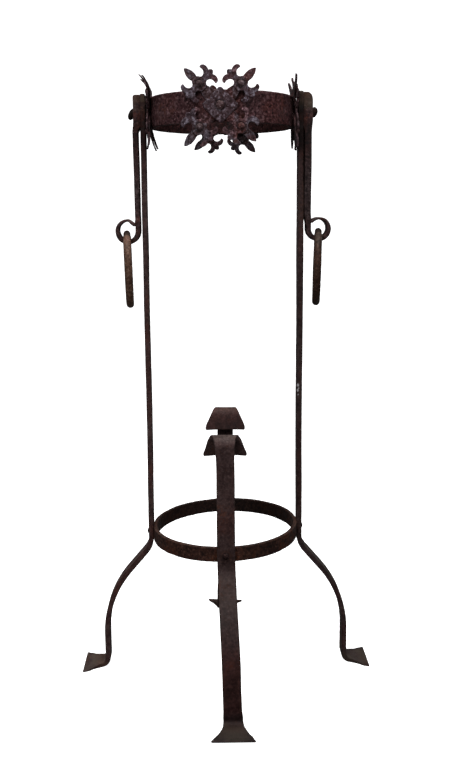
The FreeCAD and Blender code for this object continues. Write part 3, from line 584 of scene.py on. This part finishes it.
        # a speck of old pale paint
        for fx, fz, fr in ((0.1312, 0.5252, 0.0019), (0.1306, 0.5158, 0.0017), (0.1324, 0.5196, 0.0010), (0.1318, 0.5080, 0.0009)):
            w = np.hypot(P0[:, 0] - fx, 0.62 * (P0[:, 2] - fz)) / fr + smooth(-0.0135, -0.010, P0[:, 1]) * 3
            fleck = np.maximum(fleck, smooth(1.15, 0.60, w + 0.6 * (value_noise(P0, 0.0022, 57) - 0.5)))

    s.attribute("olive", olive)
    s.attribute("fleck", fleck)
    ob = bpy.data.objects.new("forged_" + name, s.me)
    scene.collection.objects.link(ob)
    for p in s.me.polygons:
        p.use_smooth = True
    pieces[name] = ob
    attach(ob, body_of[name])
    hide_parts(name)


# ------------------------------------------------------------------------------------ iron
def iron(name, dark, mid, light, rust, rust_amount, dust_amount, rough=(0.50, 0.82), seed=0.0, metallic=0.25, grain=1.0, contrast=0.5, rub_and_highlight_amount=0.75):
    """Old iron: mottled oxide, rust in joints and pits, painted shade in joints and on edges, rubbed edges that also
    serve as a painted highlight, and dust on what faces up.
    """
    mat = bpy.data.materials.new(name)
    mat.use_nodes = True
    nt = mat.node_tree
    nt.nodes.clear()
    new, link = nt.nodes.new, nt.links.new

    def noise(scale, detail=4.0, roughness=0.55, distortion=0.0, w=0.0):
        n = new("ShaderNodeTexNoise")
        n.noise_dimensions = "3D"
        n.inputs["Scale"].default_value = scale
        n.inputs["Detail"].default_value = detail
        n.inputs["Roughness"].default_value = roughness
        n.inputs["Distortion"].default_value = distortion
        link(shift(w), n.inputs["Vector"])
        return n.outputs["Fac"]

    coord = new("ShaderNodeTexCoord")

    def shift(w):
        m = new("ShaderNodeMapping")
        m.inputs["Location"].default_value = (seed * 1.7 + w, seed * 0.9 - w, seed * 2.3 + 0.5 * w)
        link(coord.outputs["Object"], m.inputs["Vector"])
        return m.outputs["Vector"]

    def attr(n):
        a = new("ShaderNodeAttribute")
        a.attribute_name = n
        return a.outputs["Fac"]

    def math_node(op, a, b=None, clamp=False):
        m = new("ShaderNodeMath")
        m.operation = op
        m.use_clamp = clamp
        for k, v in enumerate((a, b)):
            if v is None:
                continue
            if isinstance(v, (int, float)):
                m.inputs[k].default_value = v
            else:
                link(v, m.inputs[k])
        return m.outputs[0]

    def ramp(v, lo, hi, a=0.0, b=1.0):
        m = new("ShaderNodeMapRange")
        m.interpolation_type = "SMOOTHSTEP"
        m.inputs["From Min"].default_value = lo
        m.inputs["From Max"].default_value = hi
        m.inputs["To Min"].default_value = a
        m.inputs["To Max"].default_value = b
        link(v, m.inputs["Value"])
        return m.outputs["Result"]

    def mix(fac, a, b):
        m = new("ShaderNodeMix")
        m.data_type = "RGBA"
        m.clamp_factor = True
        if isinstance(fac, (int, float)):
            m.inputs[0].default_value = fac
        else:
            link(fac, m.inputs[0])
        for k, v in ((6, a), (7, b)):
            if isinstance(v, tuple):
                m.inputs[k].default_value = (*v, 1.0)
            else:
                link(v, m.inputs[k])
        return m.outputs[2]

    broad = noise(14.0, 3.0, 0.55, w=1.0)
    mottle = noise(85.0, 6.0, 0.62, 0.4, w=2.0)
    speck = noise(420.0, 4.0, 0.65, w=3.0)
    fine = noise(1300.0, 3.0, 0.6, w=4.0)
    edge, crook, joint, up, pitted, patch, tone, olive, fleck, warm = (attr(n) for n in ("edge", "crook", "joint", "up", "pitted", "patch", "tone", "olive", "fleck", "warm"))
    blotch = noise(230.0, 3.0, 0.6, 0.3, w=5.0)
    flake = noise(120.0, 5.0, 0.7, 0.8, w=6.0)

    # oxide: dark brown-purple, mottled towards a greyer brown
    base = mix(ramp(mottle, 0.36, 0.64), dark, mid)
    base = mix(ramp(broad, 0.40, 0.66, 0.0, 0.55), base, mid)
    base = mix(ramp(speck, 0.56, 0.72, 0.0, 0.60), base, light)
    # pits and crooks hold black scale
    hollow = math_node("MAXIMUM", math_node("MULTIPLY", pitted, 0.55), math_node("MULTIPLY", crook, 0.5))
    base = mix(math_node("MULTIPLY", hollow, ramp(mottle, 0.3, 0.6)), base, tuple(c * 0.32 for c in dark))
    # small dark and light blotches where scale has lifted
    base = mix(ramp(blotch, 0.50, 0.36, 0.0, min(1.0, 0.95 * contrast)), base, tuple(c * 0.36 for c in dark))
    base = mix(ramp(blotch, 0.54, 0.66, 0.0, min(1.0, 0.70 * contrast)), base, tuple(min(1.0, c * 1.3) for c in light))
    glint = noise(310.0, 2.0, 0.5, 0.0, w=7.0)
    base = mix(ramp(glint, 0.66, 0.74, 0.0, min(1.0, 0.55 * contrast)), base, tuple(min(1.0, c * 2.4) for c in light))
    # rust: patches, joints, speckles in the pits
    r1 = math_node("MULTIPLY", ramp(broad, 0.50, 0.66), ramp(flake, 0.46, 0.60))
    r2 = math_node("MULTIPLY", joint, ramp(mottle, 0.36, 0.58))
    r3 = math_node("MULTIPLY", pitted, ramp(speck, 0.46, 0.60))
    r = math_node("ADD", math_node("ADD", math_node("MULTIPLY", r1, 0.75), math_node("MULTIPLY", r2, 0.85)), math_node("MULTIPLY", r3, 0.45))
    r = math_node("MULTIPLY", math_node("MINIMUM", r, 1.0), rust_amount, True)
    rusty = mix(ramp(speck, 0.38, 0.66), tuple(c * 0.55 for c in rust), rust)
    base = mix(r, base, rusty)
    # painted shade: where two pieces meet the colour is darkened nearly to black
    base = mix(math_node("MULTIPLY", joint, ramp(blotch, 0.42, 0.62, 0.80, 0.10)), base, (dark[0] * 0.40, dark[1] * 0.30, dark[2] * 0.30))
    base = mix(math_node("MULTIPLY", olive, 0.55), base, (0.060, 0.045, 0.029))
    # edges: painted shade darkens some patches; rubbed wear, which also serves as a painted highlight, lightens others
    base = mix(math_node("MULTIPLY", edge, ramp(mottle, 0.66, 0.34, 0.0, 0.55)), base, tuple(c * 0.5 for c in dark))
    rub_and_highlight = math_node("MULTIPLY", edge, ramp(mottle, 0.40, 0.68, 0.05, rub_and_highlight_amount))
    base = mix(rub_and_highlight, base, tuple(min(1.0, c * 1.55) for c in light))
    # pale dust and weathering on faces that look up
    dust = math_node("MULTIPLY", math_node("MULTIPLY", up, ramp(mottle, 0.30, 0.68, 0.35, 1.0)), dust_amount)
    base = mix(dust, base, (0.150, 0.132, 0.112))

    tint = new("ShaderNodeVectorMath")
    tint.operation = "MULTIPLY"
    link(base, tint.inputs[0])
    tint.inputs[1].default_value = (1.10, 0.72, 0.66)
    base = mix(warm, base, tint.outputs["Vector"])
    shade = new("ShaderNodeVectorMath")
    shade.operation = "SCALE"
    link(base, shade.inputs[0])
    link(ramp(tone, 0.0, 1.0, 0.22, 2.04), shade.inputs["Scale"])
    base = mix(fleck, shade.outputs["Vector"], (0.42, 0.40, 0.41))

    rgh = math_node("ADD", ramp(mottle, 0.3, 0.7, rough[0], rough[1]), math_node("MULTIPLY", ramp(speck, 0.3, 0.7, -0.5, 0.5), 0.16))
    rgh = math_node("ADD", rgh, math_node("MULTIPLY", r, 0.22))
    rgh = math_node("SUBTRACT", rgh, math_node("MULTIPLY", rub_and_highlight, 0.12), True)

    height = math_node("ADD", math_node("MULTIPLY", mottle, 0.55), math_node("MULTIPLY", speck, 0.35))
    height = math_node("ADD", height, math_node("MULTIPLY", fine, 0.14))
    height = math_node("ADD", height, math_node("MULTIPLY", math_node("MULTIPLY", r, speck), 0.35))
    bump = new("ShaderNodeBump")
    link(ramp(edge, 0.0, 0.8, 0.58, 0.16), bump.inputs["Strength"])
    bump.inputs["Distance"].default_value = 0.0009 * grain
    link(height, bump.inputs["Height"])

    bsdf = new("ShaderNodeBsdfPrincipled")
    bsdf.inputs["Metallic"].default_value = metallic
    bsdf.inputs["Specular IOR Level"].default_value = 0.16
    link(base, bsdf.inputs["Base Color"])
    link(rgh, bsdf.inputs["Roughness"])
    link(bump.outputs["Normal"], bsdf.inputs["Normal"])
    out = new("ShaderNodeOutputMaterial")
    link(bsdf.outputs["BSDF"], out.inputs["Surface"])
    return mat


MATS = {
    "leg_iron": iron("leg_iron_look", (0.0175, 0.0082, 0.0080), (0.037, 0.0208, 0.0200), (0.054, 0.036, 0.034), (0.095, 0.029, 0.011), 0.50, 0.16, seed=1.0, contrast=0.48, rub_and_highlight_amount=0.30),
    "band_iron": iron("band_iron_look", (0.0230, 0.0066, 0.0080), (0.055, 0.0225, 0.0250), (0.094, 0.055, 0.058), (0.110, 0.034, 0.015), 0.42, 0.12, seed=2.0, contrast=1.20, rub_and_highlight_amount=0.5),
    "ring_iron": iron("ring_iron_look", (0.0150, 0.0062, 0.0044), (0.034, 0.0165, 0.0125), (0.060, 0.037, 0.028), (0.110, 0.040, 0.016), 0.75, 0.14, seed=3.0, grain=1.3, contrast=0.95, rub_and_highlight_amount=0.5),
    "hanger_iron": iron("hanger_iron_look", (0.0140, 0.0068, 0.0074), (0.032, 0.0190, 0.0200), (0.058, 0.041, 0.041), (0.095, 0.030, 0.011), 0.55, 0.40, seed=4.0, contrast=0.90, rub_and_highlight_amount=0.5),
    "carry_ring_iron": iron("carry_ring_iron_look", (0.034, 0.0150, 0.0095), (0.078, 0.042, 0.028), (0.122, 0.078, 0.058), (0.150, 0.056, 0.018), 0.60, 0.30, seed=5.0, grain=1.2, contrast=0.80),
    "bolt_iron": iron("bolt_iron_look", (0.0170, 0.0080, 0.0070), (0.034, 0.019, 0.017), (0.056, 0.038, 0.034), (0.095, 0.030, 0.014), 0.50, 0.08, seed=6.0, grain=0.6, contrast=0.6, rub_and_highlight_amount=0.4),
    "rivet_iron": iron("rivet_iron_look", (0.0220, 0.0100, 0.0110), (0.058, 0.038, 0.042), (0.125, 0.098, 0.104), (0.110, 0.036, 0.014), 0.30, 0.18, seed=7.0, grain=0.6, contrast=0.9, rub_and_highlight_amount=0.9),
    "ornament_iron": iron("ornament_iron_look", (0.0250, 0.0080, 0.0115), (0.066, 0.050, 0.062), (0.126, 0.110, 0.134), (0.150, 0.044, 0.015), 0.46, 0.12, seed=8.0, grain=1.4, contrast=1.30, rub_and_highlight_amount=0.65),
}

slot_of = {}
for entry in frame["record"].get("nodes", []):
    if isinstance(entry, dict):
        slot_of[entry.get("name")] = entry.get("slot") or entry.get("material_slot") or entry.get("material")


def guess_slot(name):
    if name.startswith("leg_"):
        return "leg_iron"
    if name == "upper_band":
        return "band_iron"
    if name == "lower_ring":
        return "ring_iron"
    if name.startswith("hanger_"):
        return "hanger_iron"
    if name.startswith("carry_ring_"):
        return "carry_ring_iron"
    if name.startswith(("pivot_bolt_", "collar_")):
        return "bolt_iron"
    if name.startswith("ring_rivet_") or "_stud_" in name or "_boss" in name:
        return "rivet_iron"
    return "ornament_iron"


for name, ob in pieces.items():
    slot = guess_slot(name)
    ob.data.materials.clear()
    ob.data.materials.append(MATS[slot])

# ------------------------------------------------------------------------------------ studio
def plain(name, color, rough=0.9):
    m = bpy.data.materials.new(name)
    m.use_nodes = True
    b = m.node_tree.nodes["Principled BSDF"]
    b.inputs["Base Color"].default_value = (*color, 1.0)
    b.inputs["Roughness"].default_value = rough
    b.inputs["Specular IOR Level"].default_value = 0.1
    return m


bm = bmesh.new()
rows = []
W = 7.0
profile = [(-6.0, 0.0), (2.6, 0.0)]
for k in range(1, 13):
    a = math.radians(90.0 * k / 12)
    profile.append((2.6 + 1.6 * math.sin(a), 1.6 - 1.6 * math.cos(a)))
profile.append((4.2, 6.5))
for py, pz in profile:
    rows.append([bm.verts.new((sx * W, py, pz - 0.0004)) for sx in (-1, 1)])
for a, b in zip(rows, rows[1:]):
    bm.faces.new((a[0], a[1], b[1], b[0]))
me = bpy.data.meshes.new("studio_floor")
bm.to_mesh(me)
bm.free()
for p in me.polygons:
    p.use_smooth = True
floor = bpy.data.objects.new("studio_floor", me)
white = plain("studio_white", (0.90, 0.90, 0.90))
ft = white.node_tree
flp = ft.nodes.new("ShaderNodeLightPath")
glow = ft.nodes.new("ShaderNodeEmission")
glow.inputs["Strength"].default_value = 0.90
lit = ft.nodes.new("ShaderNodeAddShader")
dull = ft.nodes.new("ShaderNodeBsdfDiffuse")
dull.inputs["Color"].default_value = (0.16, 0.16, 0.16, 1.0)
fmix = ft.nodes.new("ShaderNodeMixShader")
ft.links.new(ft.nodes["Principled BSDF"].outputs[0], lit.inputs[0])
ft.links.new(glow.outputs[0], lit.inputs[1])
ft.links.new(flp.outputs["Is Camera Ray"], fmix.inputs[0])
ft.links.new(dull.outputs[0], fmix.inputs[1])
ft.links.new(lit.outputs[0], fmix.inputs[2])
ft.links.new(fmix.outputs[0], ft.nodes["Material Output"].inputs["Surface"])
floor.data.materials.append(white)
scene.collection.objects.link(floor)

world = bpy.data.worlds.new("studio")
scene.world = world
world.use_nodes = True
wt = world.node_tree
bg = wt.nodes["Background"]
bg.inputs["Color"].default_value = (1.0, 1.0, 1.0, 1.0)
bg.inputs["Strength"].default_value = 1.0


# the camera sees a plain white room; what the iron sees of it is dimmer and darker towards the floor
lp = wt.nodes.new("ShaderNodeLightPath")
dim = wt.nodes.new("ShaderNodeBackground")
dim.inputs["Strength"].default_value = 0.09
mixbg = wt.nodes.new("ShaderNodeMixShader")
wt.links.new(lp.outputs["Is Camera Ray"], mixbg.inputs[0])
wt.links.new(dim.outputs[0], mixbg.inputs[1])
wt.links.new(bg.outputs[0], mixbg.inputs[2])
wt.links.new(mixbg.outputs[0], wt.nodes["World Output"].inputs["Surface"])


def area(name, loc, target, size, power, color=(1, 1, 1)):
    light = bpy.data.lights.new(name, "AREA")
    light.shape = "RECTANGLE"
    light.size, light.size_y = size
    light.energy = power
    light.color = color
    ob = bpy.data.objects.new(name, light)
    ob.location = loc
    ob.rotation_euler = (Vector(target) - Vector(loc)).to_track_quat("-Z", "Y").to_euler()
    scene.collection.objects.link(ob)
    ob.visible_camera = False
    return ob


area("overhead", (0.1, -0.5, 3.4), (0, 0, 0.4), (2.2, 2.2), 105)
area("front_left", (-1.2, -3.6, 2.7), (0, 0, 0.6), (1.3, 1.6), 74)
area("front_right", (1.9, -3.2, 2.4), (0, 0, 0.6), (1.2, 1.5), 34)
# low fills behind, so that the back and the sides read too
area("back_left", (-2.9, 2.9, 2.0), (0, 0, 0.6), (1.8, 1.8), 20)
area("back_right", (2.9, 2.9, 2.0), (0, 0, 0.6), (1.8, 1.8), 20)

scene.view_settings.view_transform = "Standard"
scene.view_settings.look = "None"
scene.view_settings.exposure = 0.0
scene.view_settings.gamma = 1.0

# ------------------------------------------------------------------------------------ camera
dist, cz = 12.043 * 0.130, 6.451 * 0.130
az, pitch, yaw, roll = (math.radians(v) for v in (-1.15, 8.48, -0.377, -0.405))
C = Vector((math.sin(az) * dist, -math.cos(az) * dist, cz))
head = math.atan2(-C.y, -C.x) + yaw
F = Vector((math.cos(head) * math.cos(pitch), math.sin(head) * math.cos(pitch), -math.sin(pitch)))
Rt = Vector((math.sin(head), -math.cos(head), 0.0))
U = Rt.cross(F)
X = Rt * math.cos(roll) + U * math.sin(roll)
Y = -Rt * math.sin(roll) + U * math.cos(roll)
cam_data = bpy.data.cameras.new("camera")
cam = bpy.data.objects.new("camera", cam_data)
scene.collection.objects.link(cam)
rot = Matrix((X, Y, -F)).transposed()
cam.matrix_world = Matrix.Translation(C) @ rot.to_4x4()
cam_data.sensor_fit = "VERTICAL"
cam_data.sensor_height = 36.0
cam_data.lens = 893.1 * 36.0 / 768.0
cam_data.shift_y = -44.0 / 768.0
cam_data.clip_start = 0.05
cam_data.clip_end = 50.0
scene.camera = cam

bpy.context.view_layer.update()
total = sum(len(o.data.polygons) for o in pieces.values())
print("forged pieces", len(pieces), "quads", total, "largest", max((len(o.data.polygons), n) for n, o in pieces.items()))
